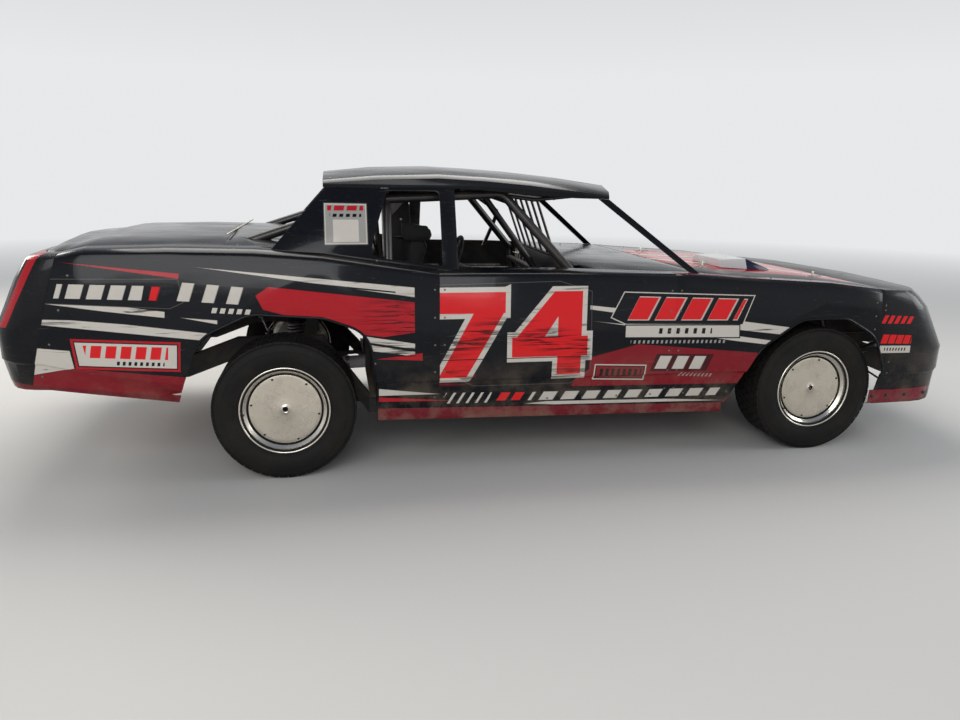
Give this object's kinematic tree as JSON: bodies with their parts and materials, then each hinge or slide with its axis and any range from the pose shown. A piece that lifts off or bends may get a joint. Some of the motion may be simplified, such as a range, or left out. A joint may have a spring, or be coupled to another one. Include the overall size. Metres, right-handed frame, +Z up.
{
  "type": "stock car",
  "caption": "Dirt-track stock car with flat sheet-metal body, roll cage, open windows, turning and steered wheels, lift-off hood and hinged deck lid.",
  "frame": {"origin": "on the floor, under the middle of the overall box", "axes": "+X to the car's front, +Y to the car's left, +Z up"},
  "size_m": [4.93, 1.84, 1.464],
  "materials": {
    "body_black": "gloss black paint",
    "nose_black": "gloss black paint on plastic",
    "cage_black": "satin black paint",
    "frame_black": "worn black paint",
    "bare_aluminium": "bare, scuffed",
    "cast_grey": "rough cast",
    "tyre_black": "black rubber",
    "scoop_silver": "silver paint",
    "seat_vinyl": "black cover",
    "panel_red": "red paint"
  },
  "bodies": {
    "chassis": {"quarter_panel_right": "body_black", "quarter_panel_left": "body_black", "door_skin_right": "body_black", "door_skin_left": "body_black", "fender_right": "body_black", "fender_left": "body_black", "cowl_panel": "body_black", "rear_deck_panel": "body_black", "roof_panel": "body_black", "sail_panel_right": "body_black", "sail_panel_left": "body_black", "a_post_right": "body_black", "a_post_left": "body_black", "nose_cover": "nose_black", "tail_cover": "nose_black", "main_hoop": "cage_black", "halo": "cage_black", "door_bars_right": "cage_black", "door_bars_left": "cage_black", "windscreen_bars": "cage_black", "dash_panel": "cage_black", "front_hoop": "cage_black", "front_bumper_bar": "cage_black", "rear_bumper_bar": "cage_black", "frame": "frame_black", "front_clip": "frame_black", "floor_pan": "frame_black", "rear_firewall": "frame_black", "lower_arm_right": "frame_black", "lower_arm_left": "frame_black", "upper_arm_right": "frame_black", "upper_arm_left": "frame_black", "rear_spring_right": "frame_black", "rear_spring_left": "frame_black", "front_firewall": "bare_aluminium", "radiator": "bare_aluminium", "steering_column": "cast_grey", "engine_block": "cast_grey", "drive_shaft": "cast_grey", "rear_axle": "cast_grey", "seat": "seat_vinyl", "fuel_cell": "panel_red", "rocker_strip_right": "panel_red", "rocker_strip_left": "panel_red"},
    "wheel_front_left": {"tyre_front_left": "tyre_black", "rim_front_left": "bare_aluminium"},
    "wheel_front_right": {"tyre_front_right": "tyre_black", "rim_front_right": "bare_aluminium"},
    "wheel_rear_left": {"tyre_rear_left": "tyre_black", "rim_rear_left": "bare_aluminium"},
    "wheel_rear_right": {"tyre_rear_right": "tyre_black", "rim_rear_right": "bare_aluminium"},
    "steered_left": {"knuckle_left": "cast_grey"},
    "steered_right": {"knuckle_right": "cast_grey"},
    "linkage": {"steering_link": "cast_grey"},
    "hand_wheel": {"steering_wheel": "cage_black"},
    "hood_lift": {"hood": "body_black", "hood_scoop": "scoop_silver"},
    "lid": {"deck_lid": "body_black"}
  },
  "joints": [
    {"name": "steer_left", "type": "hinge", "parent": "chassis", "child": "steered_left", "pos_m": [1.533, 0.655, 0.33289], "axis": [0, 0, 1], "range_deg": [-22, 22]},
    {"name": "steer_right", "type": "hinge", "parent": "chassis", "child": "steered_right", "pos_m": [1.533, -0.655, 0.33289], "axis": [0, 0, 1], "range_deg": [-22, 22]},
    {"name": "link_slide", "type": "slide", "parent": "chassis", "child": "linkage", "axis": [0, 1, 0], "range_m": [-0.058, 0.058]},
    {"name": "hand_wheel_turn", "type": "hinge", "parent": "chassis", "child": "hand_wheel", "pos_m": [-0.23, 0.395, 0.88], "axis": [-0.9397, 0, 0.342], "range_deg": [-265, 265]},
    {"name": "roll_front_left", "type": "hinge", "parent": "steered_left", "child": "wheel_front_left", "pos_m": [1.533, 0.7555, 0.33289], "axis": [0, 1, 0], "continuous": true},
    {"name": "roll_front_right", "type": "hinge", "parent": "steered_right", "child": "wheel_front_right", "pos_m": [1.533, -0.7555, 0.33289], "axis": [0, 1, 0], "continuous": true},
    {"name": "roll_rear_left", "type": "hinge", "parent": "chassis", "child": "wheel_rear_left", "pos_m": [-1.21, 0.7555, 0.33289], "axis": [0, 1, 0], "continuous": true},
    {"name": "roll_rear_right", "type": "hinge", "parent": "chassis", "child": "wheel_rear_right", "pos_m": [-1.21, -0.7555, 0.33289], "axis": [0, 1, 0], "continuous": true},
    {"name": "lid_hinge", "type": "hinge", "parent": "chassis", "child": "lid", "pos_m": [-1.45, 0, 1.13111], "axis": [0, 1, 0], "range_deg": [0, 75]},
    {"name": "hood_lift_off", "type": "slide", "parent": "chassis", "child": "hood_lift", "axis": [0, 0, 1], "range_m": [0, 0.35]}
  ],
  "couplings": [
    {"joint": "steer_right", "follows": "steer_left", "ratio": 1},
    {"joint": "link_slide", "follows": "steer_left", "m_per_rad": 0.15},
    {"joint": "hand_wheel_turn", "follows": "steer_left", "ratio": 12}
  ]
}
